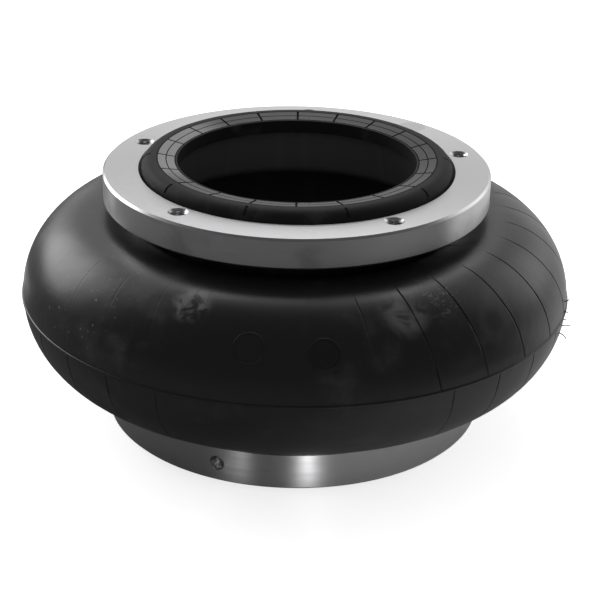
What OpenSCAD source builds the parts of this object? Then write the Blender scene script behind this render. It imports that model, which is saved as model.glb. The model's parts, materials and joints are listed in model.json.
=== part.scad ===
// Single-convolution air bellows with two loose metal bead rings.
// Origin: on the axis, on the surface that the lower bead stands on. +Z up, millimetres.
// The wall is a stack of bonded layers, drawn as parallel offsets of one outline.
// Each end is drawn in its own frame: z = 0 on the ring's outer face, +z pointing out of the part.

/* [Bellows wall] */
// How far the convolution stands out past the rings
bulge = 47.5; // [40:0.5:60]
// Free distance between the facing sides of the two rings
clear_h = 108; // [100:1:120]
// Gap between a ring and the crest of the convolution
crest_gap = 7.5; // [5:0.5:10]
// Distance of the crest circle outwards from the rim of the rings
crest_shift = 2; // [-2:0.5:4]
// Turn of the flank, from level at the crest to the start of the equator curve
flank_angle = 40; // [34:1:46]
// Radius of the fold between the neck and the convolution
fold_r = 5; // [4:0.25:6]
// Thickness of the outer rubber cover
cover_t = 2.4; // [1.6:0.1:3]
// Thickness of one cord fabric ply
ply_t = 1.1; // [0.8:0.1:1.3]
// Thickness of the airtight liner
liner_t = 1.2; // [0.8:0.1:1.6]
// Height of the mould's parting ridge round the equator
ridge_h = 0.8; // [0.3:0.1:1.2]
// Width of the parting ridge
ridge_w = 1.8; // [1.2:0.1:3]

/* [Bead rings] */
// Bore that the rubber neck passes through
neck_d = 169; // [150:1:190]
// Radial depth of the conical bead seat
seat_step = 5.5; // [4.5:0.1:6.5]
// Axial depth of the bead seat
seat_depth = 9; // [8:0.5:10.5]
// Rounding of the inner edge that the neck comes out of
edge_r = 5; // [4:0.25:6]
// Land between the mouth of the seat and the hole circle
hole_land = 7; // [6.5:0.25:10]
// Rim between the hole circle and the outside of the ring
rim = 13; // [9:0.5:20]
// Thickness of the top ring
top_ring_t = 17; // [16:0.5:24]
// Thickness of the base ring
base_ring_t = 22; // [17:0.5:28]
// Chamfer on the outer edges of the rings
ring_chamfer = 1.2; // [0.5:0.1:2.5]

/* [Tapped holes] */
// Number of tapped holes in each ring
hole_count = 5; // [3:1:8]
// Direction of the first hole, from +X towards +Y
hole_phase = 14; // [0:1:71]
// Core diameter of the tapped holes
tap_d = 8.5; // [6.8:0.1:10.2]
// Width of the lead-in chamfer at a hole's mouth
tap_lead = 1.3; // [0.5:0.1:2]
// Depth of the full hole in the top ring
top_tap_depth = 13; // [8:0.5:14]
// Depth of the full hole in the base ring
base_tap_depth = 16; // [10:0.5:18]
// Core diameter of the blind hole in the side of the base ring
side_d = 8.5; // [5:0.1:10.2]
// Depth of the side hole
side_depth = 10; // [6:0.5:14]
// Width of the lead-in chamfer of the side hole
side_lead = 0.3; // [0.1:0.1:0.8]
// Direction of the side hole, from +X towards +Y
side_azimuth = 248; // [240:1:256]

/* [Beads] */
// How far a bead's crown stands proud of its ring
bead_proud = 6; // [4.5:0.25:8]
// Distance of the wire hoop's middle inwards from the neck bore
core_inset = 5; // [4.5:0.25:6]
// Distance of the wire hoop's middle below the ring's outer face
core_drop = 2.5; // [2:0.25:3.5]
// Diameter of one strand of the wire hoop
strand_d = 2; // [1.4:0.1:2.2]
// Clear distance between neighbouring strands
strand_space = 0.5; // [0.3:0.1:0.8]
// Filler rubber round the outside of the wire hoop
core_wrap = 0.3; // [0.2:0.05:0.6]
// Length of the ply turn-up past the hoop
turn_up = 5; // [3:0.5:6]
// Length of the filler wedge along the ply
wedge_l = 9; // [7:0.5:11]
// Distance of the crown's middle outwards from the wire hoop
crown_out = 2.5; // [1.5:0.25:3]
// Half width of the crown's flat top
crown_flat = 2.5; // [1.5:0.25:3.5]
// Width of one ring of sealing lands
land_w = 4.4; // [3.5:0.1:5]
// Number of rings of sealing lands
land_rings = 2; // [1:1:2]
// Width of the grooves beside the lands
groove_w = 0.6; // [0.4:0.1:1.2]
// Depth of those grooves
groove_depth = 0.6; // [0.3:0.1:1]
// Width of the thin lip round the mouth
lip_w = 0.9; // [0.6:0.1:1.5]
// Drop of the sealing face from the crown to the lip
lip_drop = 2; // [1:0.25:3]
// Straight length of the mouth below the lip
mouth_l = 7.5; // [6:0.25:8]

/* [Fits] */
// Clearance between rubber and metal
fit_gap = 0.3; // [0.2:0.05:0.4]
// Clearance round each wire strand
strand_gap = 0.05; // [0.05:0.05:0.1]
// Cement between the wall's layers and the bead or filler they are bonded to
bond_gap = 0.2; // [0.1:0.05:0.25]

/* [Hidden] */

round_fn = 96;
arc_step = 5;
strand_count = 6;

// Ring radii, from the neck outwards
neck_r = neck_d / 2;
seat_r = neck_r + seat_step;
hole_circle_r = seat_r + hole_land;
ring_r = hole_circle_r + rim;
edge_middle_r = neck_r + edge_r;

// Heights of the four ring faces and of the convolution's middle
base_face_z = bead_proud;
base_inner_z = base_face_z + base_ring_t;
top_inner_z = base_inner_z + clear_h;
top_face_z = top_inner_z + top_ring_t;
middle_z = (base_inner_z + top_inner_z) / 2;

// Depth of each layer's face below the outer surface of the wall
ply_1_s = cover_t;
ply_2_s = ply_1_s + ply_t;
liner_s = ply_2_s + ply_t;
wall_s = liner_s + liner_t;

// Crest and equator curves: two arcs, level at the crest and upright at the equator
equator_r = ring_r + bulge;
crest_at_r = ring_r + crest_shift;
crest_h = clear_h / 2 - crest_gap;
reach = equator_r - crest_at_r;
flank_sin = sin(flank_angle);
flank_cos = cos(flank_angle);
equator_curve_r = (reach * (1 - flank_cos) - crest_h * flank_sin)
        / ((1 - flank_sin) * (1 - flank_cos) - flank_cos * flank_sin);
crest_curve_r = (crest_h - equator_curve_r * flank_cos) / (1 - flank_cos);
crest_middle_h = crest_h - crest_curve_r;

// Fold: an arc that touches the neck and the crest curve
neck_rubber_r = neck_r - fit_gap;
fold_middle_r = neck_rubber_r + fold_r;
fold_span = fold_r + crest_curve_r;
fold_turn = acos((crest_at_r - fold_middle_r) / fold_span);
fold_middle_h = crest_middle_h + fold_span * sin(fold_turn);

// Bead: wire hoop, ply hook round it and the shoulder that seats in the ring
core_r = neck_r - core_inset;
strand_pitch = strand_d + strand_space;
hook_r = strand_pitch + strand_d / 2 + core_wrap + bond_gap;
crown_r = core_r + crown_out;
face_r = crown_r - crown_flat;
mouth_r = face_r - land_rings * (land_w + groove_w) - groove_w - lip_w;
seat_angle = atan(seat_step / seat_depth);
core_at = [core_r, -core_drop];
seat_foot = [neck_rubber_r, -seat_depth];
seat_normal = [cos(seat_angle), -sin(seat_angle)];
crown_room = seat_normal * (seat_foot - [crown_r, bead_proud]);
crown_curve_r = crown_room / (1 + sin(seat_angle));

// Points on an arc from angle a to angle b
function arc(centre, r, a, b) =
    let (n = max(2, ceil(abs(b - a) / arc_step)))
    [for (i = [0 : n]) centre + r * unit(a + (b - a) * i / n)];
function unit(angle) = [cos(angle), sin(angle)];
function reversed(list) = [for (i = [len(list) - 1 : -1 : 0]) list[i]];

// Middle of the fold beside a ring of thickness t, in the end's own frame
function fold_at(t) = [fold_middle_r, fold_middle_h - clear_h / 2 - t];

// Radius of a layer face round the fold, and round the wire hoop
function fold_offset(s) = fold_r + s;
function hook_offset(s) = hook_r + s - ply_1_s;

// Direction in which the straight neck faces, square to the line that both curves share
function neck_angle(t) =
    let (d = fold_at(t) - core_at)
    360 + atan2(d[1], d[0]) - acos((hook_offset(0) - fold_offset(0)) / norm(d));

// Point a gap off the first ply's outer face, a length l down the straight neck from the hoop
function neck_point(t, l, gap = 0) =
    core_at + (hook_r - gap) * unit(neck_angle(t)) + l * unit(neck_angle(t) + 90);

// The same point where the neck leaves the ring
function neck_exit(t, gap = 0) =
    let (top = neck_point(t, 0, gap))
    neck_point(t, (-t - top[1]) / cos(neck_angle(t)), gap);

// Parts of a layer face at one end, in order from the turn-up to the crest curve
function turn_up_end(s, gap = 0) =
    [core_at + hook_offset(s) * unit(-seat_angle) + (turn_up + gap) * unit(-90 - seat_angle)];
function hook_arc(s, t, from) = arc(core_at, hook_offset(s), from, neck_angle(t));
function fold_arc(s, t, from) = arc(fold_at(t), fold_offset(s), from, 360 - fold_turn);

function cover_outer_end(t) = concat([[neck_rubber_r, -t]], fold_arc(0, t, 180));
function cover_inner_end(t) = concat([neck_exit(t)], fold_arc(ply_1_s, t, neck_angle(t)));
function ply_end(s, t) =
    concat(turn_up_end(s), hook_arc(s, t, -seat_angle), fold_arc(s, t, neck_angle(t)));
function liner_end(s, t) = concat(hook_arc(s, t, 180), fold_arc(s, t, neck_angle(t)));

// From an end's own frame to the part's frame
function at_top(points) = [for (p = points) [p[0], top_face_z + p[1]]];
function at_base(points) = [for (p = points) [p[0], base_face_z - p[1]]];

// Layer face of the convolution, from the top fold to the base fold
function crest_arc(s, side) = [
    for (p = arc([0, crest_middle_h], crest_curve_r - s, 180 - fold_turn, 90 - flank_angle))
        [crest_at_r + p[0], middle_z + side * p[1]]
];
function equator_arc(s) =
    arc([equator_r - equator_curve_r, middle_z], equator_curve_r - s, 90 - flank_angle, flank_angle - 90);
function convolution(s) = concat(crest_arc(s, 1), equator_arc(s), reversed(crest_arc(s, -1)));
function whole_face(top_end, base_end, s) =
    concat(at_top(top_end), convolution(s), reversed(at_base(base_end)));

function cover_outer() = whole_face(cover_outer_end(top_ring_t), cover_outer_end(base_ring_t), 0);
function cover_inner() = whole_face(cover_inner_end(top_ring_t), cover_inner_end(base_ring_t), ply_1_s);
function ply_face(s) = whole_face(ply_end(s, top_ring_t), ply_end(s, base_ring_t), s);
function liner_face(s) = whole_face(liner_end(s, top_ring_t), liner_end(s, base_ring_t), s);

// Sealing face of a bead: height at a radius, and its grooves from the crown to the lip
function face_z(r) = bead_proud - lip_drop * (face_r - r) / (face_r - mouth_r);
function groove(r) = [
    [r, face_z(r)],
    [r, face_z(r) - groove_depth],
    [r - groove_w, face_z(r - groove_w) - groove_depth],
    [r - groove_w, face_z(r - groove_w)]
];
function sealing_face() = [
    for (i = [0 : land_rings]) each groove(face_r - i * (land_w + groove_w))
];

// Direction from the hoop to the liner's end, with the bond gap
liner_stop = 180 - asin(bond_gap / hook_offset(liner_s));

function bead_section(t) = concat(
    [neck_exit(t, bond_gap), [neck_rubber_r, -t], seat_foot],
    arc([crown_r, bead_proud - crown_curve_r], crown_curve_r, -seat_angle, 90),
    sealing_face(),
    [[mouth_r, face_z(mouth_r)], [mouth_r, face_z(mouth_r) - mouth_l]],
    arc(core_at, hook_offset(wall_s) + bond_gap, neck_angle(t) - arc_step, liner_stop),
    arc(core_at, hook_offset(liner_s) + bond_gap, liner_stop, -seat_angle),
    turn_up_end(liner_s + bond_gap, bond_gap),
    turn_up_end(ply_1_s, bond_gap),
    [neck_point(t, wedge_l, bond_gap)]
);

// Filler: round the hoop, then a wedge that ends in a tip on the first ply
function filler_section(t) = concat(
    turn_up_end(ply_1_s - bond_gap),
    hook_arc(ply_1_s - bond_gap, t, -seat_angle),
    [neck_point(t, wedge_l, bond_gap)]
);

function ring_section(t) = concat(
    [
        [seat_r, 0],
        [ring_r - ring_chamfer, 0],
        [ring_r, -ring_chamfer],
        [ring_r, ring_chamfer - t],
        [ring_r - ring_chamfer, -t]
    ],
    arc([edge_middle_r, edge_r - t], edge_r, 270, 180),
    [[neck_r, -seat_depth]]
);

// Moves an end's shapes to the top or turns them over for the base
module top_end() {
    translate([0, 0, top_face_z]) children();
}

module base_end() {
    translate([0, 0, base_face_z]) mirror([0, 0, 1]) children();
}

module revolve(points) {
    rotate_extrude($fn = round_fn) polygon(points);
}

// Blind hole drilled downwards from z = 0, with a lead-in chamfer and a drill point
module drilled_hole(d, depth, lead) {
    mouth_r = d / 2 + lead;
    point_h = d / 4;
    translate([0, 0, -depth]) cylinder(d = d, h = depth + lead, $fn = round_fn);
    translate([0, 0, -lead]) cylinder(r1 = d / 2, r2 = mouth_r + lead, h = 2 * lead, $fn = round_fn);
    translate([0, 0, -depth - point_h]) cylinder(r1 = 0, r2 = d / 2, h = point_h, $fn = round_fn);
}

module hole_pattern(depth) {
    for (i = [0 : hole_count - 1])
        rotate(hole_phase + i * 360 / hole_count)
            translate([hole_circle_r, 0, 0]) drilled_hole(tap_d, depth, tap_lead);
}

module bead_ring(t, depth) {
    difference() {
        revolve(ring_section(t));
        hole_pattern(depth);
    }
}

module layer(outer_face, inner_face) {
    revolve(concat(outer_face, reversed(inner_face)));
}

// Middles of the strands: one in the centre and a ring of six round it
strand_places = concat(
    [core_at],
    [for (i = [0 : strand_count - 1]) core_at + strand_pitch * unit(i * 360 / strand_count)]
);

module strands(r) {
    for (p = strand_places)
        rotate_extrude($fn = round_fn) translate(p) circle(r = r, $fn = round_fn);
}

module bead_filler(t) {
    difference() {
        revolve(filler_section(t));
        strands(strand_d / 2 + strand_gap);
    }
}

module bottom_bead_ring() {
    color("silver")
    difference() {
        base_end() bead_ring(base_ring_t, base_tap_depth);
        rotate(side_azimuth)
            translate([ring_r, 0, base_face_z + base_ring_t / 2])
                rotate([0, 90, 0]) drilled_hole(side_d, side_depth, side_lead);
    }
}

module top_bead_ring() {
    color("silver") top_end() bead_ring(top_ring_t, top_tap_depth);
}

// Ridge with the section of a shallow circle segment
module parting_ridge() {
    curve_r = (ridge_h * ridge_h + ridge_w * ridge_w / 4) / (2 * ridge_h);
    rotate_extrude($fn = round_fn)
        translate([equator_r + ridge_h - curve_r, middle_z]) circle(r = curve_r, $fn = round_fn);
}

module outer_cover() {
    color("dimgray")
    union() {
        layer(cover_outer(), cover_inner());
        parting_ridge();
    }
}

module outer_ply() {
    color("tan") layer(ply_face(ply_1_s), ply_face(ply_2_s));
}

module inner_ply() {
    color("burlywood") layer(ply_face(ply_2_s), ply_face(liner_s));
}

module inner_liner() {
    color("black") layer(liner_face(liner_s), liner_face(wall_s));
}

module bottom_bead_core() {
    color("goldenrod") base_end() strands(strand_d / 2);
}

module top_bead_core() {
    color("goldenrod") top_end() strands(strand_d / 2);
}

module bottom_bead_filler() {
    color("slategray") base_end() bead_filler(base_ring_t);
}

module top_bead_filler() {
    color("slategray") top_end() bead_filler(top_ring_t);
}

module bottom_sealing_bead() {
    color("darkslategray") base_end() revolve(bead_section(base_ring_t));
}

module top_sealing_bead() {
    color("darkslategray") top_end() revolve(bead_section(top_ring_t));
}

bottom_bead_ring();
top_bead_ring();
outer_cover();
outer_ply();
inner_ply();
inner_liner();
bottom_bead_core();
top_bead_core();
bottom_bead_filler();
top_bead_filler();
bottom_sealing_bead();
top_sealing_bead();
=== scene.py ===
"""Looks of an air bellows actuator: rubber wall and beads, cord plies, turned rings, threads, studio."""

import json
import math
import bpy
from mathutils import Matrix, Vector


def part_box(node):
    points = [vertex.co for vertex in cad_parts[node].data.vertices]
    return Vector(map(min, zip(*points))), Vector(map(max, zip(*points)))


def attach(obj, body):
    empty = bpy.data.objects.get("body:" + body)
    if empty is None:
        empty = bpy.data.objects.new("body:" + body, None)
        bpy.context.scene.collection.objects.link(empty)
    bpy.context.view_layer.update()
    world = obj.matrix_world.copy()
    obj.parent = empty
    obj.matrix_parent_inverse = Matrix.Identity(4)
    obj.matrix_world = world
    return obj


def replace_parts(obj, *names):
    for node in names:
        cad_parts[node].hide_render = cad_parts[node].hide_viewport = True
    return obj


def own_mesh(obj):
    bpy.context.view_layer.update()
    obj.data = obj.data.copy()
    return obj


bl_info = {
    "name": "Air bellows actuator",
    "version": (1, 0, 0),
    "blender": (4, 5, 0),
    "location": "View3D > Sidebar > Bellows",
    "description": "Builds the rubber, cord and thread detail of an air bellows round its fixed frame",
    "category": "Object",
}

import bmesh
import bpy
from bpy.props import FloatProperty, FloatVectorProperty, IntProperty, PointerProperty
from mathutils import Matrix, Vector

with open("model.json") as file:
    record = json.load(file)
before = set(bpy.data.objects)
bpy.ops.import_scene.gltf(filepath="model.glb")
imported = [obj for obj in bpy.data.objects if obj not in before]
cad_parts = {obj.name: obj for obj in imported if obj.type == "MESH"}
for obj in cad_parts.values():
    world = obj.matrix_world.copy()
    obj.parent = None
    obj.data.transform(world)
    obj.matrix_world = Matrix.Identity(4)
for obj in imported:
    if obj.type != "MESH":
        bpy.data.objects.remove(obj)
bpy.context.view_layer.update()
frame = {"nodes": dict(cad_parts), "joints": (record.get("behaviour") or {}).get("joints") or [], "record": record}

TURN = 2 * math.pi
HALF_TURN = math.pi
QUARTER_TURN = math.pi / 2
ARC_STEP = math.radians(4.5)
SHARP_EDGE = math.radians(38)
MERGE = 0.00001
TOUCHING = 5 * MERGE
MM_PER_M = 1000
MIDDLE = (0, 0, 0)
UP = (0, 0, 1)

# Heights and travel that the frame gives
TOP_FACE_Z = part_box("top_bead_ring")[1].z
TOP_INNER_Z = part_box("top_bead_ring")[0].z
BASE_FACE_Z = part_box("bottom_bead_ring")[0].z
BASE_INNER_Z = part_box("bottom_bead_ring")[1].z
CLEAR_H = TOP_INNER_Z - BASE_INNER_Z
MIDDLE_Z = (TOP_INNER_Z + BASE_INNER_Z) / 2
TRAVEL = next(-joint["range_m"][0] for joint in frame["joints"] if joint["name"] == "stroke")
MOUNTS = {mount["name"]: mount for mount in frame["record"]["mounts"]}


class End:
    """One end of the bellows: its bodies, the level of its ring's outer face and the way it faces."""

    def __init__(self, name, body, ring_body, face_z, inner_z):
        self.name = name
        self.body = body
        self.ring_body = ring_body
        self.face_z = face_z
        self.ring_t = abs(face_z - inner_z)
        self.side = 1 if face_z > inner_z else -1


TOP = End("top", "upper_end", "top_ring", TOP_FACE_Z, TOP_INNER_Z)
BOTTOM = End("bottom", "lower_end", "base_ring", BASE_FACE_Z, BASE_INNER_Z)


def length(name, description, default):
    return FloatProperty(name=name, description=description, default=default, unit="LENGTH", precision=5)


def angle(name, description, degrees):
    return FloatProperty(name=name, description=description, default=math.radians(degrees), unit="ROTATION")


def number(name, description, default, unit="NONE"):
    return FloatProperty(name=name, description=description, default=default, unit=unit)


def count(name, description, default):
    return IntProperty(name=name, description=description, default=default)


def colour(name, description, default):
    return FloatVectorProperty(
        name=name, description=description, default=default, subtype="COLOR", size=3, min=0, max=1
    )


class WallSizes(bpy.types.PropertyGroup):
    ring_radius: length("Ring radius", "Outer radius of the metal rings", 0.110)
    neck_radius: length("Neck radius", "Bore of the rings that the rubber passes through", 0.0845)
    fit_gap: length("Fit gap", "Clearance between rubber and metal", 0.0003)
    bulge: length("Bulge", "How far the convolution stands out past the rings", 0.0475)
    crest_gap: length("Crest gap", "Gap between a ring and the crest of the convolution", 0.0075)
    crest_shift: length("Crest shift", "Distance of the crest outwards from the rings' rim", 0.002)
    flank_angle: angle("Flank angle", "Turn of the flank before the equator curve starts", 40)
    fold_radius: length("Fold radius", "Radius of the fold between neck and convolution", 0.005)
    cover: length("Cover", "Thickness of the outer rubber cover", 0.0024)
    ply: length("Ply", "Thickness of one cord ply", 0.0011)
    liner: length("Liner", "Thickness of the airtight liner", 0.0012)
    ridge_height: length("Ridge height", "Height of the parting ridge", 0.0007)
    ridge_width: length("Ridge width", "Width of the parting ridge", 0.0018)


class MouldSizes(bpy.types.PropertyGroup):
    upper_lines: count("Upper lines", "Mould lines above the equator", 32)
    lower_lines: count("Lower lines", "Mould lines below the equator", 31)
    upper_phase: angle("Upper phase", "Direction of the first upper line at the crest", 2.6)
    lower_phase: angle("Lower phase", "Direction of the first lower line", 11.3)
    slant: angle("Slant", "Turn of an upper line from the crest to the equator", 3.7)
    upper_worn: angle("Upper worn", "Middle of the stretch where the upper lines are worn away", 222)
    upper_worn_half: angle("Upper worn half", "Half the width of that stretch", 55)
    lower_worn: angle("Lower worn", "Middle of the stretch where the lower lines are worn away", 260)
    lower_worn_half: angle("Lower worn half", "Half the width of that stretch", 20)
    worn_edge: angle("Worn edge", "Turn over which the lines come back", 14)
    worn_trace: number("Worn trace", "Depth that is left of a worn line", 0.12)
    line_width: length("Line width", "Width of a mould line", 0.0011)
    line_depth: length("Line depth", "Depth of a mould line", 0.0006)
    mark_radius: length("Mark radius", "Radius of the round mould marks", 0.0080)
    mark_width: length("Mark width", "Width of the rim of a round mark", 0.0009)
    mark_height: length("Mark height", "Height of the rim of a round mark", 0.00035)
    hair_length: length("Hair length", "Length of the rubber hairs left by the mould's vents", 0.0065)
    hair_width: length("Hair width", "Width of a rubber hair at its root", 0.0007)


class BeadSizes(bpy.types.PropertyGroup):
    seat_step: length("Seat step", "Radial depth of the conical seat", 0.0055)
    seat_depth: length("Seat depth", "Axial depth of the conical seat", 0.009)
    proud: length("Proud", "How far the crown stands out of the ring", 0.006)
    core_inset: length("Core inset", "Distance of the wire hoop inwards from the neck bore", 0.005)
    core_drop: length("Core drop", "Distance of the wire hoop below the ring's face", 0.0025)
    hook_radius: length("Hook radius", "Radius of the first ply round the wire hoop", 0.004)
    bond_gap: length("Bond gap", "Cement between the layers and the bead they are bonded to", 0.0002)
    turn_up: length("Turn-up", "Length of the ply past the wire hoop", 0.005)
    wedge: length("Wedge", "Length of the filler wedge along the ply", 0.009)
    crown_out: length("Crown out", "Distance of the crown outwards from the wire hoop", 0.0025)
    crown_flat: length("Crown flat", "Half width of the crown's flat top", 0.0025)
    land: length("Land", "Width of one ring of sealing pads", 0.0044)
    land_rings: count("Land rings", "Rings of sealing pads", 2)
    pads: count("Pads", "Sealing pads in one ring", 20)
    pad_break: length("Pad break", "Gap between neighbouring pads", 0.0014)
    pad_slope: length("Pad slope", "Run of the sloping end of a pad", 0.00015)
    groove: length("Groove", "Width of the grooves beside the pads", 0.0006)
    groove_depth: length("Groove depth", "Depth of the grooves beside the pads", 0.0006)
    edge: length("Edge", "Rounding of the pads' edges", 0.00012)
    lip: length("Lip", "Width of the thin lip round the mouth", 0.0009)
    lip_drop: length("Lip drop", "Drop of the sealing face from crown to lip", 0.002)
    mouth: length("Mouth", "Straight length of the mouth below the lip", 0.0075)
    nick_depth: length("Nick depth", "Depth of the nicks across the crown", 0.0005)
    tab_length: length("Tab length", "Length of the flash tab at the far side", 0.013)
    tab_width: length("Tab width", "Width of the flash tab", 0.007)
    tab_thickness: length("Tab thickness", "Thickness of the flash tab", 0.0008)
    tab_turn: angle("Tab turn", "Turn of the flash tab from the far side", -8)


class ThreadSizes(bpy.types.PropertyGroup):
    pitch: length("Pitch", "Pitch of the screw threads", 0.0015)
    height: length("Height", "Height of a thread above the core hole", 0.00045)
    lead: length("Lead", "Depth of the lead-in before the first thread", 0.0015)
    top_depth: length("Top depth", "Threaded depth in the top ring", 0.012)
    base_depth: length("Base depth", "Threaded depth in the base ring", 0.015)
    side_depth: length("Side depth", "Threaded depth of the side hole", 0.009)
    phase: angle("Phase", "Direction of the first tapped hole", 14)


class Colours(bpy.types.PropertyGroup):
    cover: colour("Cover", "Moulded outer rubber", (0.0105, 0.0105, 0.011))
    # Also the pale tone of the painted highlight on the cover's glossy patch
    dust: colour("Dust", "Dust and bloom on the rubber", (0.15, 0.15, 0.15))
    bead: colour("Bead", "Smooth rubber of the sealing beads", (0.010, 0.010, 0.011))
    # Paler than the other black rubbers: painted light that lifts the inside of the mouth, which lies in deep
    # shade
    liner: colour("Liner", "Airtight inner rubber", (0.075, 0.075, 0.075))
    filler: colour("Filler", "Hard rubber round the wire hoops", (0.05, 0.048, 0.045))
    cord: colour("Cord", "Dipped cord of the plies", (0.42, 0.30, 0.17))
    wire: colour("Wire", "Brass-washed bead wire", (0.62, 0.48, 0.26))
    metal: colour("Metal", "Turned aluminium of the rings", (0.66, 0.66, 0.67))
    stain: colour("Stain", "Dull handling stains on the metal", (0.40, 0.40, 0.41))
    floor: colour("Floor", "Floor and background", (0.92, 0.92, 0.92))


class StudioSizes(bpy.types.PropertyGroup):
    distance: length("Distance", "Camera's distance from the aim point", 0.965)
    aim_height: length("Aim height", "Height of the aim point on the axis", 0.0795)
    elevation: angle("Elevation", "Camera's angle above the horizon", 24.13)
    roll: angle("Roll", "Camera's turn about its own line of sight", 0.95)
    lens: number("Lens", "Focal length on a 36 mm sensor", 98.65, "CAMERA")
    shift_right: number("Shift right", "Sideways shift of the frame", 0.0083)
    shift_up: number("Shift up", "Upward shift of the frame", -0.0277)
    floor_radius: length("Floor radius", "Radius of the floor", 12.0)
    fill: number("Fill", "Strength of the even light from all round", 0.45)


GROUPS = {
    "bellows_wall": WallSizes,
    "bellows_mould": MouldSizes,
    "bellows_bead": BeadSizes,
    "bellows_thread": ThreadSizes,
    "bellows_colours": Colours,
    "bellows_studio": StudioSizes,
}


def on_circle(centre, radius, turned):
    return (centre[0] + radius * math.cos(turned), centre[1] + radius * math.sin(turned))


def turned_point(radius, turned, height):
    """Point at a radius and a direction round the axis, at a height."""
    return Vector((*on_circle((0, 0), radius, turned), height))


class Section:
    """The layers' outlines, as radius and height. Heights of the wall start at the convolution's middle."""

    def __init__(self, scene):
        wall = scene.bellows_wall
        bead = scene.bellows_bead
        self.bead = bead
        # Depth of each layer's face below the outside: cover, first ply, second ply, liner, air
        self.depths = [0, wall.cover, wall.cover + wall.ply, wall.cover + 2 * wall.ply]
        self.depths.append(self.depths[-1] + wall.liner)
        self.cover = wall.cover
        self.neck_r = wall.neck_radius - wall.fit_gap
        # Two arcs, level at the crest and upright at the equator
        self.equator_r = wall.ring_radius + wall.bulge
        crest_r = wall.ring_radius + wall.crest_shift
        self.crest_h = CLEAR_H / 2 - wall.crest_gap
        reach = self.equator_r - crest_r
        level = 1 - math.sin(wall.flank_angle)
        upright = 1 - math.cos(wall.flank_angle)
        both = math.sin(wall.flank_angle) * math.cos(wall.flank_angle)
        crest_part = self.crest_h * math.sin(wall.flank_angle)
        self.equator_curve = (reach * upright - crest_part) / (level * upright - both)
        self.crest_curve = (self.crest_h - self.equator_curve * math.cos(wall.flank_angle)) / upright
        self.equator_at = (self.equator_r - self.equator_curve, 0)
        self.crest_at = (crest_r, self.crest_h - self.crest_curve)
        self.change = QUARTER_TURN - wall.flank_angle
        # Fold that touches the neck and the crest curve
        self.fold_r = wall.fold_radius
        fold_at_r = self.neck_r + self.fold_r
        span = self.fold_r + self.crest_curve
        self.fold_turn = math.acos((crest_r - fold_at_r) / span)
        self.fold_at = (fold_at_r, self.crest_at[1] + span * math.sin(self.fold_turn))
        # Bead: wire hoop and crown
        self.core_r = wall.neck_radius - bead.core_inset
        self.seat_angle = math.atan(bead.seat_step / bead.seat_depth)
        self.crown_r = self.core_r + bead.crown_out
        self.face_r = self.crown_r - bead.crown_flat
        self.mouth_r = self.face_r - bead.land_rings * (bead.land + bead.groove) - bead.groove - bead.lip
        foot_in = self.neck_r - self.crown_r
        foot_down = bead.seat_depth + bead.proud
        room = foot_in * math.cos(self.seat_angle) + foot_down * math.sin(self.seat_angle)
        self.crown_curve = room / (1 + math.sin(self.seat_angle))

    def core_at(self, end):
        return (self.core_r, CLEAR_H / 2 + end.ring_t - self.bead.core_drop)

    def hook(self, depth):
        return self.bead.hook_radius + depth - self.cover

    def neck_angle(self, end):
        """Direction in which the straight neck faces, between the hoop and the fold."""
        core = self.core_at(end)
        across = self.fold_at[0] - core[0]
        down = self.fold_at[1] - core[1]
        lean = math.acos((self.hook(0) - self.fold_r) / math.hypot(across, down))
        return TURN + math.atan2(down, across) - lean

    def neck_point(self, end, depth, along):
        faces = self.neck_angle(end)
        start = on_circle(self.core_at(end), self.hook(depth), faces)
        return on_circle(start, along, faces + QUARTER_TURN)

    def neck_exit(self, end, depth):
        """Where a layer's face passes the level of the ring's inner side."""
        start = self.neck_point(end, depth, 0)
        return self.neck_point(end, depth, (CLEAR_H / 2 - start[1]) / math.cos(self.neck_angle(end)))

    def turn_up_end(self, end, depth, gap=0):
        start = on_circle(self.core_at(end), self.hook(depth), -self.seat_angle)
        return on_circle(start, self.bead.turn_up + gap, -self.seat_angle - QUARTER_TURN)

    def face_z(self, radius):
        """Height of the sealing face over the ring's outer face."""
        share = (self.face_r - radius) / (self.face_r - self.mouth_r)
        return self.bead.proud - self.bead.lip_drop * share

    def curve_near(self, radius, height):
        """Middle and radius of the arc of the convolution that a point belongs to."""
        turned = math.atan2(height, radius - self.equator_at[0])
        if turned < self.change and radius > self.equator_at[0]:
            return self.equator_at, self.equator_curve
        return self.crest_at, self.crest_curve


class Pen:
    """Draws an outline in the XZ plane, as radius and height from a level, upwards or downwards."""

    def __init__(self, bm, level, side):
        self.bm = bm
        self.level = level
        self.side = side
        self.start = None
        self.tip = None

    def place(self, point):
        return Vector((point[0], 0, self.level + self.side * point[1]))

    def to(self, point):
        """Straight stroke to a point, or the outline's first point."""
        spot = self.place(point)
        if self.tip is None:
            self.start = bmesh.ops.create_vert(self.bm, co=spot)["vert"][0]
            self.tip = self.start
        elif (self.tip.co - spot).length > MERGE:
            self.tip = bmesh.ops.extrude_vert_indiv(self.bm, verts=[self.tip])["verts"][0]
            self.tip.co = spot

    def arc(self, centre, radius, start, stop):
        """Arc round a centre, with a straight stroke to where it starts."""
        self.to(on_circle(centre, radius, start))
        made = bmesh.ops.spin(
            self.bm,
            geom=[self.tip],
            cent=self.place(centre),
            axis=(0, -self.side, 0),
            angle=stop - start,
            steps=max(2, math.ceil(abs(stop - start) / ARC_STEP)),
        )
        self.tip = made["geom_last"][0]

    def close(self):
        bmesh.ops.contextual_create(self.bm, geom=[self.tip, self.start])


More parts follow.
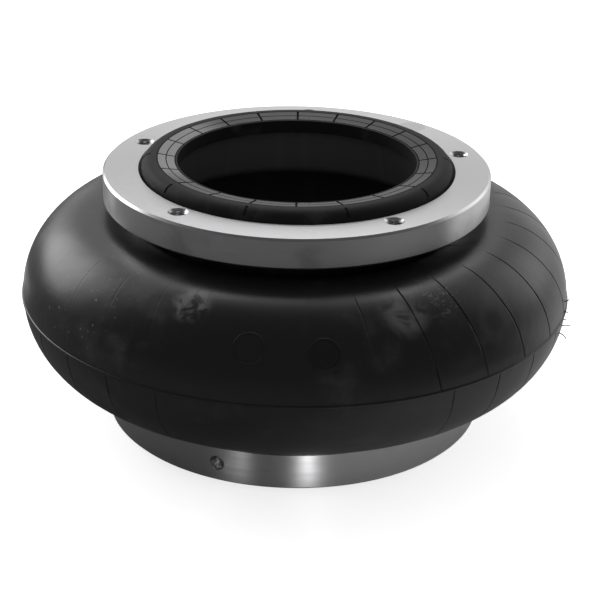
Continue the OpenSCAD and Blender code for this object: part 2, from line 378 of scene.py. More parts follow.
def draw_face_out(pen, section, end, depth, lift=0):
    """One face of a layer, from a lift over the equator to where the neck passes the ring's inner side."""
    start = math.asin(lift / section.equator_curve)
    pen.arc(section.equator_at, section.equator_curve - depth, start, section.change)
    pen.arc(section.crest_at, section.crest_curve - depth, section.change, HALF_TURN - section.fold_turn)
    stop = HALF_TURN if depth == 0 else section.neck_angle(end)
    pen.arc(section.fold_at, section.fold_r + depth, TURN - section.fold_turn, stop)
    pen.to((section.neck_r, CLEAR_H / 2) if depth == 0 else section.neck_exit(end, depth))


def draw_face_back(pen, section, end, depth, lift=0):
    """The same face from the ring back to the lift over the equator."""
    pen.to(section.neck_exit(end, depth))
    pen.arc(section.fold_at, section.fold_r + depth, section.neck_angle(end), TURN - section.fold_turn)
    pen.arc(section.crest_at, section.crest_curve - depth, HALF_TURN - section.fold_turn, section.change)
    stop = math.asin(lift / section.equator_curve)
    pen.arc(section.equator_at, section.equator_curve - depth, section.change, stop)


def turn(bm, geom, turned, steps=1, whole=False, copies=False, rise=0):
    """Spins geometry about the axis, with a rise at each step for a screw."""
    made = bmesh.ops.spin(
        bm,
        geom=geom,
        cent=MIDDLE,
        axis=UP,
        dvec=(0, 0, rise),
        angle=turned,
        steps=steps,
        use_merge=whole,
        use_duplicate=copies,
    )
    return made["geom_last"]


def everything(bm):
    return bm.verts[:] + bm.edges[:] + bm.faces[:]


def revolve(bm, steps):
    turn(bm, bm.verts[:] + bm.edges[:], TURN, steps, whole=True)


def revolve_in_sectors(bm, count, columns):
    """Turns the outline through one sector, column by column, and repeats that sector all the way round."""
    last = bm.verts[:] + bm.edges[:]
    for column in columns:
        last = turn(bm, last, column)
    turn(bm, everything(bm), TURN * (count - 1) / count, count - 1, copies=True)
    bmesh.ops.remove_doubles(bm, verts=bm.verts, dist=MERGE)


def set_shading(bm):
    bmesh.ops.recalc_face_normals(bm, faces=bm.faces)
    for face in bm.faces:
        face.smooth = True
    for edge in bm.edges:
        edge.smooth = edge.calc_face_angle(0) < SHARP_EDGE


def make_piece(name, bm, finish, body):
    """Turns a finished bmesh into an object that rides on a body of the frame."""
    bmesh.ops.remove_doubles(bm, verts=bm.verts, dist=MERGE)
    set_shading(bm)
    mesh = bpy.data.meshes.new(name)
    bm.to_mesh(mesh)
    bm.free()
    mesh.materials.append(finish)
    piece = bpy.data.objects.new(name, mesh)
    bpy.context.scene.collection.objects.link(piece)
    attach(piece, body)
    return piece


def make_wall_piece(name, bm, finish):
    """Makes a piece of the soft wall, which rides on the lower end and has a mesh of its own."""
    piece = make_piece(name, bm, finish, BOTTOM.body)
    1 - TRAVEL / CLEAR_H
    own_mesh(piece)
    return piece


def round_edges(bm, edges, offset, steps):
    bmesh.ops.bevel(
        bm,
        geom=edges,
        offset=offset,
        segments=steps,
        profile=0.5,
        affect="EDGES",
        material=-1,
        clamp_overlap=True,
    )


class Wire:
    """An output of a node. Arithmetic on it adds Math nodes."""

    def __init__(self, sheet, socket):
        self.sheet = sheet
        self.socket = socket

    def __add__(self, other):
        return self.sheet.math("ADD", self, other)

    def __sub__(self, other):
        return self.sheet.math("SUBTRACT", self, other)

    def __rsub__(self, other):
        return self.sheet.math("SUBTRACT", other, self)

    def __mul__(self, other):
        return self.sheet.math("MULTIPLY", self, other)

    def __pow__(self, other):
        return self.sheet.math("POWER", self, other)

    __radd__ = __add__
    __rmul__ = __mul__


class Sheet:
    """A node tree that a finish is written on."""

    def __init__(self, tree):
        self.tree = tree

    def set(self, node, key, value):
        if isinstance(value, Wire):
            self.tree.links.new(value.socket, node.inputs[key])
        else:
            node.inputs[key].default_value = value

    def node(self, kind, settings=None, inputs=None, output=0):
        """Adds a node, sets it up, fills or links its sockets and gives one of its outputs."""
        node = self.tree.nodes.new(kind)
        for key, value in (settings or {}).items():
            setattr(node, key, value)
        for key, value in (inputs or {}).items():
            self.set(node, key, value)
        return Wire(self, node.outputs[output])

    def math(self, operation, first, second):
        return self.node("ShaderNodeMath", {"operation": operation}, {0: first, 1: second})

    def larger(self, first, second):
        return self.math("MAXIMUM", first, second)

    def place(self):
        return self.node("ShaderNodeTexCoord", output="Object")

    def axes(self, vector):
        split = self.node("ShaderNodeSeparateXYZ", inputs={0: vector}).socket.node
        return [Wire(self, socket) for socket in split.outputs]

    def attribute(self, name):
        return self.node("ShaderNodeAttribute", {"attribute_name": name}, output="Fac")

    def noise(self, place, scale, detail=2.0, rough=0.5, warp=0.0):
        inputs = {"Vector": place, "Scale": scale, "Detail": detail, "Roughness": rough, "Distortion": warp}
        return self.node("ShaderNodeTexNoise", inputs=inputs)

    def line_noise(self, along, scale, detail=2.0):
        inputs = {"W": along, "Scale": scale, "Detail": detail}
        return self.node("ShaderNodeTexNoise", {"noise_dimensions": "1D"}, inputs)

    def stretch(self, place, scale, turned=(0, 0, 0)):
        return self.node("ShaderNodeMapping", inputs={"Vector": place, "Scale": scale, "Rotation": turned})

    def rise(self, value, low, high, bottom=0.0, top=1.0):
        """Smooth step from bottom to top as the value goes from low to high."""
        inputs = {"Value": value, 1: low, 2: high, 3: bottom, 4: top}
        return self.node("ShaderNodeMapRange", {"interpolation_type": "SMOOTHSTEP"}, inputs)

    def near(self, place, spot, core, edge):
        """1 within the core of a spot, falling to 0 at its edge."""
        settings = {"operation": "DISTANCE"}
        apart = self.node("ShaderNodeVectorMath", settings, {0: place, 1: spot}, output="Value")
        return self.rise(apart, core, edge, 1.0, 0.0)

    def mix(self, mask, first, second):
        """Colour that goes from first to second with the mask."""
        inputs = {0: mask, 6: first, 7: second}
        return self.node("ShaderNodeMix", {"data_type": "RGBA"}, inputs, output=2)

    def bump(self, height, distance, strength=1.0, under=None):
        inputs = {"Height": height, "Distance": distance, "Strength": strength}
        if under is not None:
            inputs["Normal"] = under
        return self.node("ShaderNodeBump", inputs=inputs)


SHADER_SOCKETS = {
    "base_color": "Base Color",
    "roughness": "Roughness",
    "metallic": "Metallic",
    "normal": "Normal",
    "specular": "Specular IOR Level",
    "anisotropic": "Anisotropic",
    "anisotropic_turn": "Anisotropic Rotation",
    "sheen": "Sheen Weight",
    "emission": "Emission Color",
    "emission_strength": "Emission Strength",
}


class Finish(Sheet):
    """A material with a Principled shader."""

    def __init__(self, name):
        self.material = bpy.data.materials.new(name)
        self.material.use_nodes = True
        super().__init__(self.material.node_tree)
        self.shader = self.tree.nodes["Principled BSDF"]

    def surface(self, **sockets):
        """Sets the shader's sockets by their short names."""
        for name, value in sockets.items():
            self.set(self.shader, SHADER_SOCKETS[name], value)
        return self.material


def rgb(value):
    return (*value, 1.0)


def grey(level):
    return (level, level, level, 1.0)


def start_finish(scene, name):
    """The part's colours, a new finish, and the place on the piece that its patterns read."""
    sheet = Finish(name)
    return scene.bellows_colours, sheet, sheet.place()


def on_wall(section, azimuth, height, lift=0.0):
    """Point on the outside of the wall at a direction and a height over the middle."""
    rise = math.asin(abs(height) / section.equator_curve)
    radius, up = on_circle(section.equator_at, section.equator_curve + lift, rise)
    return turned_point(radius, azimuth, MIDDLE_Z + math.copysign(up, height))


COVER_FINISH = "moulded_cover_rubber"
BEAD_FINISH = "sealing_bead_rubber"
CORD_DARK = (0.30, 0.20, 0.11)
WIRE_BARE = (0.50, 0.47, 0.42)
# Near-black for painted shade in grooves, nicks and mould lines, and for dark smudges
SHADE_AND_SMUDGE_BLACK = grey(0.003)
PAINTED_PAD_HIGHLIGHT = grey(0.26)
CUT_BRIGHT = grey(0.85)
OIL = grey(0.10)
# Where the pads at the left are painted paler as a highlight, and a round stain on the top ring
LIT_PADS_SPOT = (-0.078, 0.014, TOP_FACE_Z)
STAIN_SPOT = (0.0695, 0.0720, TOP_FACE_Z)
# Round mould marks: direction in degrees and height over the middle
ROUND_MARKS = ((261.3, 0.0275), (275.9, 0.0258))
# Spots on the cover: direction in degrees, height over the middle, radius of the core and of the edge
COVER_SPOTS = {
    "scuff": (247, 0.0405, 0.005, 0.013),
    "craze": (303, 0.042, 0.006, 0.020),
    # A glossy patch: its lower roughness is real, its pale colour a painted highlight
    "glossy_patch_with_painted_highlight": (294, 0.0385, 0.004, 0.017),
    "speck": (221, 0.031, 0.020, 0.048),
    "smudge": (313.8, 0.0267, 0.003, 0.010),
    "small_smudge": (304, 0.030, 0.002, 0.007),
    "mark": (*ROUND_MARKS[1], 0.0078, 0.0086),
}


def cover_finish(scene, section):
    """Moulded black rubber: blotchy sheen, fine grain, mould lines darkened with painted shade, pale scuffs, a
    glossy patch with a painted highlight, and dark smudges.
    """
    look, sheet, place = start_finish(scene, COVER_FINISH)

    def spot(name):
        degrees, height, core, edge = COVER_SPOTS[name]
        return sheet.near(place, on_wall(section, math.radians(degrees), height), core, edge)

    def broken(name, low, high, *noise):
        """A spot that a noise breaks up."""
        return spot(name) * sheet.rise(sheet.noise(place, *noise), low, high)

    blotch = sheet.noise(place, 16, 3, 0.55, 0.6)
    cloud = sheet.noise(place, 46, 4, 0.6)
    grain = sheet.noise(place, 900, 2)
    dimple = sheet.noise(place, 150, 3)
    line = sheet.attribute("mould_line")
    worn = sheet.rise(cloud * 0.6 + blotch * 0.6, 0.62, 0.82)
    scuff = broken("scuff", 0.40, 0.52, 70, 3, 0.6, 0.8)
    craze = broken("craze", 0.52, 0.66, 240, 5, 0.7, 1.5)
    glossy_patch_with_painted_highlight = broken("glossy_patch_with_painted_highlight", 0.36, 0.56, 60, 3, 0.6, 0.8)
    speck = broken("speck", 0.70, 0.76, 420, 1)
    smudge = sheet.larger(spot("smudge"), spot("small_smudge"))
    mark = spot("mark")
    # Pale patches: scuffs, craze and specks are wear and dust; the glossy patch's pale colour is a painted
    # highlight
    pale = sheet.larger(sheet.larger(scuff, glossy_patch_with_painted_highlight * 0.8), sheet.larger(craze * 0.7, speck * 0.9))
    tone = sheet.mix(worn * 0.14, rgb(look.cover), rgb(look.dust))
    tone = sheet.mix(pale * 0.75, tone, rgb(look.dust))
    # Painted shade: the mould lines are darkened as if shaded in their grooves; smudges and the round mark are
    # darker in colour
    dark = sheet.larger(line * 0.9, sheet.larger(smudge * 0.8, mark * 0.4))
    tone = sheet.mix(dark, tone, SHADE_AND_SMUDGE_BLACK)
    rough = 0.20 + blotch * 0.28 + worn * 0.08 + line * 0.3
    rough = rough + smudge * 0.2 + mark * 0.12 - scuff * 0.05 - glossy_patch_with_painted_highlight * 0.08
    height = grain * 0.25 + dimple * 0.5
    return sheet.surface(
        base_color=tone,
        roughness=rough,
        specular=0.55,
        normal=sheet.bump(height, 0.00012, 0.6, sheet.bump(blotch, 0.0016, 0.35)),
    )


def bead_finish(scene):
    """Smooth bead rubber; grooves, breaks and nicks darkened as painted shade; pad tops a little paler all round,
    and paler still at the left as a painted highlight.
    """
    look, sheet, place = start_finish(scene, BEAD_FINISH)
    cloud = sheet.noise(place, 60, 4, 0.6)
    grain = sheet.noise(place, 1100, 2)
    low = sheet.attribute("recess")
    land = sheet.attribute("land")
    dust = sheet.rise(cloud, 0.52, 0.75)
    lit_pads = sheet.near(place, LIT_PADS_SPOT, 0.030, 0.062)
    tone = sheet.mix(dust * 0.10 + land * 0.20, rgb(look.bead), rgb(look.dust))
    # Painted highlight: pads near the left are paler where they face the lamps
    tone = sheet.mix(land * lit_pads, tone, PAINTED_PAD_HIGHLIGHT)
    # Painted shade: grooves, breaks between pads and nicks darkened towards black
    tone = sheet.mix(low * 0.9, tone, SHADE_AND_SMUDGE_BLACK)
    return sheet.surface(
        base_color=tone,
        roughness=0.54 + cloud * 0.16 + low * 0.3 - land * 0.32,
        specular=0.22,
        normal=sheet.bump(grain * 0.3 + cloud * 0.5, 0.00012, 0.6),
    )


def liner_finish(scene):
    """Airtight liner: smooth black rubber with faint splice lines running from end to end."""
    look, sheet, place = start_finish(scene, "airtight_liner_rubber")
    east, north, _ = sheet.axes(place)
    round_way = sheet.math("ARCTAN2", north, east)
    splice = sheet.line_noise(round_way, 9, 1)
    cloud = sheet.noise(place, 40, 3)
    # The liner's base colour is painted light, paler than black rubber so that the shaded inside of the mouth is
    # not black
    tone = sheet.mix(sheet.rise(splice, 0.55, 0.7) * 0.10, rgb(look.liner), rgb(look.dust))
    return sheet.surface(
        base_color=tone,
        roughness=0.42 + cloud * 0.2,
        normal=sheet.bump(splice * 0.6 + cloud * 0.4, 0.0003, 0.4),
    )


def cord_finish(scene, name, lean):
    """Parallel dipped cords that cross the wall at a bias."""
    look, sheet, place = start_finish(scene, name)
    east, north, up = sheet.axes(place)
    round_way = sheet.math("ARCTAN2", north, east)
    cords = sheet.math("SINE", round_way * 560 + up * (lean * 4200), 0)
    gap = sheet.rise(cords, -1.0, -0.2)
    dye = sheet.noise(place, 70, 3)
    tone = sheet.mix(gap, rgb(look.liner), sheet.mix(dye, rgb(look.cord), rgb(CORD_DARK)))
    return sheet.surface(
        base_color=tone,
        roughness=0.75 - gap * 0.1,
        normal=sheet.bump(cords, 0.0002, 0.6),
        sheen=0.15,
    )


def wire_finish(scene):
    """Drawn bead wire with a brass wash."""
    look, sheet, place = start_finish(scene, "brass_washed_wire")
    wash = sheet.noise(place, 180, 3)
    tone = sheet.mix(sheet.rise(wash, 0.45, 0.65), rgb(look.wire), rgb(WIRE_BARE))
    return sheet.surface(
        base_color=tone,
        metallic=1.0,
        roughness=0.28 + wash * 0.2,
        normal=sheet.bump(sheet.noise(place, 700, 2), 0.00005, 0.4),
    )


def filler_finish(scene):
    """Hard filler rubber, matt with a mottled skin."""
    look, sheet, place = start_finish(scene, "bead_filler_rubber")
    mottle = sheet.noise(place, 120, 4)
    tone = sheet.mix(mottle * 0.4, rgb(look.filler), rgb(look.liner))
    return sheet.surface(
        base_color=tone,
        roughness=0.7 + mottle * 0.2,
        normal=sheet.bump(mottle, 0.0002, 0.5),
    )


def turned_metal_finish(scene):
    """Turned aluminium: lathe lines round the axis, dull stains, smears and fine scratches."""
    look, sheet, place = start_finish(scene, "turned_ring_metal")
    east, north, up = sheet.axes(place)
    radius = (east * east + north * north) ** 0.5
    across = radius + up
    lathe = sheet.line_noise(across, 2600, 3)
    band = sheet.line_noise(across, 420, 2)
    cloud = sheet.noise(place, 22, 4, 0.6, 0.5)
    stain = sheet.rise(cloud, 0.52, 0.72)
    smear = sheet.noise(sheet.stretch(place, (40, 40, 220)), 1, 4, 0.6, 0.7)
    scratch = sheet.noise(sheet.stretch(place, (60, 900, 160), (0.4, 0.3, 0.7)), 1, 2)
    scratched = sheet.rise(scratch, 0.70, 0.74) * sheet.rise(cloud, 0.45, 0.6)
    spot = sheet.near(place, STAIN_SPOT, 0.007, 0.0095)
    tone = sheet.mix(stain * 0.45, rgb(look.metal), rgb(look.stain))
    tone = sheet.mix(sheet.rise(smear, 0.6, 0.75) * 0.25 + spot * 0.45, tone, rgb(look.stain))
    tone = sheet.mix(sheet.rise(lathe, 0.45, 0.8) * 0.18, tone, CUT_BRIGHT)
    rough = 0.27 + band * 0.08 + stain * 0.10 + scratched * 0.10
    return sheet.surface(
        base_color=tone,
        metallic=1.0,
        roughness=rough,
        normal=sheet.bump(lathe * 0.7 + scratched * 0.6, 0.00002, 0.5),
        anisotropic=0.6,
        anisotropic_turn=0.25,
    )


def thread_finish(scene):
    """Cut threads: bright flanks with dark cutting oil left in them."""
    look, sheet, place = start_finish(scene, "cut_thread_metal")
    oil = sheet.noise(place, 500, 3)
    tone = sheet.mix(sheet.rise(oil, 0.45, 0.7) * 0.5, rgb(look.metal), OIL)
    return sheet.surface(
        base_color=tone,
        metallic=1.0,
        roughness=0.22 + oil * 0.2,
        normal=sheet.bump(oil, 0.00003, 0.4),
    )


# Where each half starts: turn up the ridge's arc in radians, and the inner face's lift over the equator
RIDGE_START = 0.1
INNER_LIFT = 0.0001
PLAIN_COLUMNS = 5


def cover_half(section, mould, end, lines, phase, slant, worn):
    """Half of the cover, from the parting ridge to a ring, with mould lines pressed into its outside."""
    wall = bpy.context.scene.bellows_wall
    bm = bmesh.new()
    pen = Pen(bm, MIDDLE_Z, end.side)
    ridge_half = wall.ridge_width / 2
    ridge_curve = (wall.ridge_height ** 2 + ridge_half ** 2) / (2 * wall.ridge_height)
    ridge_at = (section.equator_r + wall.ridge_height - ridge_curve, 0)
    pen.arc(ridge_at, ridge_curve, RIDGE_START, math.asin(ridge_half / ridge_curve))
    draw_face_out(pen, section, end, 0, ridge_half)
    draw_face_back(pen, section, end, section.cover, INNER_LIFT)
    pitch = TURN / lines
    half_line = mould.line_width / 2 / section.equator_r
    plain = (pitch - 4 * half_line) / PLAIN_COLUMNS
    beside = [half_line, half_line]
    revolve_in_sectors(bm, lines, [*beside, *[plain] * PLAIN_COLUMNS, *beside])
    press_lines(bm, section, mould, end, pitch, worn)
    for vert in bm.verts:
        height = (vert.co.z - MIDDLE_Z) * end.side
        down = min(1, max(0, 1 - height / section.crest_h))
        vert.co = Matrix.Rotation(phase + slant * down, 3, "Z") @ vert.co
    return bm


# A mould line's run-in at the equator, run-out at the crest, and its faint stretch, as shares of the way up
LINE_RUN_IN = 0.05
LINE_RUN_OUT = 0.06
FAINT_AT = 0.45
FAINT_SPREAD = 0.16
FAINT_LOSS = 0.55
# How far inwards past the crest a mould line may run
LINE_PAST_CREST = 0.02


def line_strength(share):
    """Depth of a mould line from the equator (0) to the crest (1): strong, faint on the flank, strong."""
    ends = min(1, share / LINE_RUN_IN) * min(1, max(0, (1.0 - share) / LINE_RUN_OUT))
    faint = math.exp(-((share - FAINT_AT) / FAINT_SPREAD) ** 2)
    return ends * (1 - FAINT_LOSS * faint)


def freshness(mould, turned, middle, half):
    """1 where the lines are as moulded, down to a trace where handling has worn them away."""
    away = abs(math.remainder(turned - middle, TURN))
    share = min(1, max(0, (away - half) / mould.worn_edge))
    return mould.worn_trace + (1 - mould.worn_trace) * share


def press_lines(bm, section, mould, end, pitch, worn):
    """Sinks the columns of points that lie on a mould line."""
    # Line strength per point: the cover's finish darkens the lines with it as painted shade, and makes them
    # rougher
    layer = bm.verts.layers.float.new("mould_line")
    for vert in bm.verts:
        turned = math.atan2(vert.co.y, vert.co.x)
        radius = math.hypot(vert.co.x, vert.co.y)
        height = (vert.co.z - MIDDLE_Z) * end.side
        centre, curve = section.curve_near(radius, height)
        outward = Vector((radius - centre[0], height - centre[1]))
        on_line = abs(math.remainder(turned, pitch)) * radius < TOUCHING
        outside = abs(outward.length - curve) < TOUCHING
        if on_line and outside and radius > centre[0] - LINE_PAST_CREST:
            strength = line_strength(min(1, height / section.crest_h)) * freshness(mould, turned, *worn)
            sunk = outward.normalized() * mould.line_depth * strength
            vert[layer] = strength
            around = turned_point(1, turned, 0)
            vert.co -= around * sunk.x + Vector((0, 0, end.side * sunk.y))


def join(first, second):
    """Adds one bmesh to another."""
    carrier = bpy.data.meshes.new("carrier")
    second.to_mesh(carrier)
    second.free()
    first.from_mesh(carrier)
    bpy.data.meshes.remove(carrier)


def close_ring(bm, inside, limit):
    """Bridges the two open loops at the equator, inside or outside a radius."""
    edges = [edge for edge in bm.edges if edge.is_boundary]
    edges = [edge for edge in edges if (edge.verts[0].co.to_2d().length < limit) == inside]
    bmesh.ops.bridge_loops(bm, edges=edges)


class BELLOWS_OT_cover(bpy.types.Operator):
    """Build the moulded outer cover with its parting ridge and mould lines"""

    bl_idname = "bellows.cover"
    bl_label = "Outer cover"

    def execute(self, context):
        scene = context.scene
        mould = scene.bellows_mould
        section = Section(scene)
        upper_worn = (mould.upper_worn, mould.upper_worn_half)
        lower_worn = (mould.lower_worn, mould.lower_worn_half)
        bm = cover_half(section, mould, TOP, mould.upper_lines, mould.upper_phase, mould.slant, upper_worn)
        join(bm, cover_half(section, mould, BOTTOM, mould.lower_lines, mould.lower_phase, 0, lower_worn))
        between = section.equator_r - section.cover / 2
        close_ring(bm, True, between)
        close_ring(bm, False, between)
        finish = cover_finish(scene, section)
        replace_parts(make_wall_piece("outer_cover_skin", bm, finish), "outer_cover")
        return {"FINISHED"}


def wrap_on_wall(bm, section, azimuth, height):
    """Lays a flat shape on the wall: x runs round it, y up it and z out of it."""
    rise = math.asin(height / section.equator_curve)
    radius = on_circle(section.equator_at, section.equator_curve, rise)[0]
    for vert in bm.verts:
        tilt = rise + vert.co.y / section.equator_curve
        out, up = on_circle(section.equator_at, section.equator_curve + vert.co.z, tilt)
        vert.co = turned_point(out, azimuth + vert.co.x / radius, MIDDLE_Z + up)


MARK_STEPS = 48


class BELLOWS_OT_mould_marks(bpy.types.Operator):
    """Build the round mould marks on the front of the cover"""

    bl_idname = "bellows.mould_marks"
    bl_label = "Round mould marks"

    def execute(self, context):
        scene = context.scene
        mould = scene.bellows_mould
        section = Section(scene)
        marks = bmesh.new()
        for degrees, height in ROUND_MARKS:
            bm = bmesh.new()
            pen = Pen(bm, 0, 1)
            pen.to((mould.mark_radius - mould.mark_width / 2, -mould.mark_height))
            pen.arc((mould.mark_radius, 0), mould.mark_height, HALF_TURN, 0)
            pen.to((mould.mark_radius + mould.mark_width / 2, -mould.mark_height))
            pen.close()
            revolve(bm, MARK_STEPS)
            wrap_on_wall(bm, section, math.radians(degrees), height)
            join(marks, bm)
        make_wall_piece("cover_round_marks", marks, bpy.data.materials[COVER_FINISH])
        return {"FINISHED"}


# Vent hairs near the equator: direction in degrees, height over the middle, lean and length share
VENT_HAIRS = (
    (346.2, 0.0060, 0.5, 0.55),
    (345.2, 0.0010, -0.3, 0.5),
    (343.2, -0.0055, 0.0, 1.0),
    (342.2, -0.0090, -0.6, 0.9),
    (344.2, -0.0030, 0.7, 0.4),
)
HAIR_SIDES = 6
HAIR_STEPS = 6
HAIR_CURL = 1.0
HAIR_TAPER = 0.94


class BELLOWS_OT_vent_hairs(bpy.types.Operator):
    """Build the thin rubber hairs that the mould's vents left at the equator"""

    bl_idname = "bellows.vent_hairs"
    bl_label = "Vent hairs"

    def execute(self, context):
        scene = context.scene
        mould = scene.bellows_mould
        section = Section(scene)
        hairs = bmesh.new()
        for degrees, height, lean, share in VENT_HAIRS:
            bm = bmesh.new()
            bmesh.ops.create_circle(bm, cap_ends=True, segments=HAIR_SIDES, radius=mould.hair_width / 2)
            long = mould.hair_length * share
            last = everything(bm)
            for _ in range(HAIR_STEPS):
                made = bmesh.ops.spin(
                    bm,
                    geom=last,
                    cent=(long, 0, 0),
                    axis=(0, 1, 0),
                    dvec=MIDDLE,
                    angle=HAIR_CURL / HAIR_STEPS,
                    steps=1,
                )
                last = made["geom_last"]
                tips = [item for item in last if isinstance(item, bmesh.types.BMVert)]
                middle = sum((vert.co for vert in tips), Vector()) / len(tips)
                at_tip = Matrix.Translation(-middle)
                bmesh.ops.scale(bm, vec=[HAIR_TAPER] * 3, space=at_tip, verts=tips)
            leaning = Matrix.Rotation(lean * HALF_TURN, 3, "Z")
            bmesh.ops.rotate(bm, cent=MIDDLE, matrix=leaning, verts=bm.verts)
            spot = on_wall(section, math.radians(degrees), height, -mould.hair_width)
            facing = Vector((spot.x, spot.y, height)).to_track_quat("Z", "Y").to_matrix().to_4x4()
            bmesh.ops.transform(bm, matrix=Matrix.Translation(spot) @ facing, verts=bm.verts)
            join(hairs, bm)
        make_wall_piece("cover_vent_hairs", hairs, bpy.data.materials[COVER_FINISH])
        return {"FINISHED"}


LAYER_STEPS = 128


def wall_layer(section, outer, inner):
    """A layer of the wall between the rings, from one face depth to another."""
    bm = bmesh.new()
    for end in (TOP, BOTTOM):
        pen = Pen(bm, MIDDLE_Z, end.side)
        draw_face_out(pen, section, end, outer)
        draw_face_back(pen, section, end, inner)
    bmesh.ops.remove_doubles(bm, verts=bm.verts, dist=MERGE)
    revolve(bm, LAYER_STEPS)
    return bm


def end_layer(section, end, outer, inner, hooked):
    """A layer's end inside a ring: hooked round the wire hoop and turned up, or stopping beside it."""
    bm = bmesh.new()
    pen = Pen(bm, MIDDLE_Z, end.side)
    core = section.core_at(end)
    faces = section.neck_angle(end)
    stop = -section.seat_angle if hooked else HALF_TURN
    pen.to(section.neck_exit(end, outer))
    pen.arc(core, section.hook(outer), faces, stop)
    if hooked:
        pen.to(section.turn_up_end(end, outer))
        pen.to(section.turn_up_end(end, inner))
    pen.arc(core, section.hook(inner), stop, faces)
    pen.to(section.neck_exit(end, inner))
    pen.close()
    revolve(bm, LAYER_STEPS)
    return bm


class BELLOWS_OT_layers(bpy.types.Operator):
    """Build the two cord plies and the liner, each as a wall and two ends"""

    bl_idname = "bellows.layers"
    bl_label = "Plies and liner"

    def execute(self, context):
        scene = context.scene
        section = Section(scene)
        layers = (
            ("outer_ply", cord_finish(scene, "outer_ply_cord", 1), "cord_fabric", True),
            ("inner_ply", cord_finish(scene, "inner_ply_cord", -1), "cord_fabric", True),
            ("inner_liner", liner_finish(scene), "liner_rubber", False),
        )
        for number, (node, finish, slot, hooked) in enumerate(layers, 1):
            outer = section.depths[number]
            inner = section.depths[number + 1]
            bm = wall_layer(section, outer, inner)
            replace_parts(make_wall_piece(node + "_wall", bm, finish), node)
            for end in (TOP, BOTTOM):
                bm = end_layer(section, end, outer, inner, hooked)
                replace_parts(make_piece(f"{node}_{end.name}_end", bm, finish, end.body), node)
        return {"FINISHED"}


def draw_bead(pen, section, end):
    """Outline of a sealing bead, from the neck over the crown and the lands to the mouth and back."""
    bead = section.bead
    core = (section.core_r, -bead.core_drop)
    drop = CLEAR_H / 2 + end.ring_t

    def lowered(point):
        return (point[0], point[1] - drop)

    gap = bead.bond_gap
    ply, _, liner, air = section.depths[1:]
    liner_stop = HALF_TURN - math.asin(gap / section.hook(liner))
    pen.to(lowered(section.neck_exit(end, ply - gap)))
    pen.to((section.neck_r, -end.ring_t))
    pen.to((section.neck_r, -bead.seat_depth))
    crown = (section.crown_r, bead.proud - section.crown_curve)
    pen.arc(crown, section.crown_curve, -section.seat_angle, QUARTER_TURN)
    for number in range(bead.land_rings + 1):
        outer = section.face_r - number * (bead.land + bead.groove)
        inner = outer - bead.groove
        pen.to((outer, section.face_z(outer)))
        pen.to((outer, section.face_z(outer) - bead.groove_depth))
        pen.to((inner, section.face_z(inner) - bead.groove_depth))
        pen.to((inner, section.face_z(inner)))
    lip = section.face_z(section.mouth_r)
    pen.to((section.mouth_r, lip))
    pen.to((section.mouth_r, lip - bead.mouth))
    pen.arc(core, section.hook(air + gap), section.neck_angle(end) - ARC_STEP, liner_stop)
    pen.arc(core, section.hook(liner + gap), liner_stop, -section.seat_angle)
    pen.to(lowered(section.turn_up_end(end, liner + gap, gap)))
    pen.to(lowered(section.turn_up_end(end, ply, gap)))
    pen.to(lowered(section.neck_point(end, ply - gap, bead.wedge)))
    pen.close()


PAD_COLUMNS = 4
PAD_EDGE_STEPS = 2
NICK_EVERY = 2
NICK_LOW = math.radians(20)
NICK_HIGH = math.radians(80)
NICK_SHADE = 0.6


def cut_breaks(bm, section, end):
    """Lowers the lands at the breaks between pads, and the crown at every second one."""
    bead = section.bead
    # recess: grooves, breaks and nicks, which the bead's finish darkens as painted shade and makes rougher
    layer = bm.verts.layers.float.new("recess")
    land = bm.verts.layers.float.new("land")
    pitch = TURN / bead.pads
    reach = (bead.pad_break / 2 - bead.pad_slope / 2) / section.face_r
    crown = Vector((section.crown_r, bead.proud - section.crown_curve))
    first = section.face_r - bead.groove
    last = section.face_r - bead.land_rings * (bead.land + bead.groove)
    for vert in bm.verts:
        radius = vert.co.to_2d().length
        height = (vert.co.z - end.face_z) * end.side
        turned = math.atan2(vert.co.y, vert.co.x)
        top = section.face_z(radius)
        grooved = abs(height - top + bead.groove_depth) < MERGE
        on_land = abs(height - top) < MERGE and last - MERGE <= radius <= first + MERGE
        if grooved and section.mouth_r < radius <= section.face_r + MERGE:
            vert[layer] = 1
        if on_land:
            vert[land] = 1
        if abs(math.remainder(turned, pitch)) > reach:
            continue
        if on_land:
            vert.co.z -= end.side * bead.groove_depth
            vert[layer] = 1
            vert[land] = 0
        outward = Vector((radius, height)) - crown
        on_crown = abs(outward.length - section.crown_curve) < MERGE
        faces = math.atan2(outward.y, outward.x)
        at_nick = abs(math.remainder(turned, NICK_EVERY * pitch)) <= reach
        if on_crown and at_nick and NICK_LOW < faces < NICK_HIGH:
            outward = outward.normalized() * bead.nick_depth
            around = Vector((vert.co.x, vert.co.y, 0)).normalized()
            vert.co -= around * outward.x + Vector((0, 0, end.side * outward.y))
            vert[layer] = NICK_SHADE


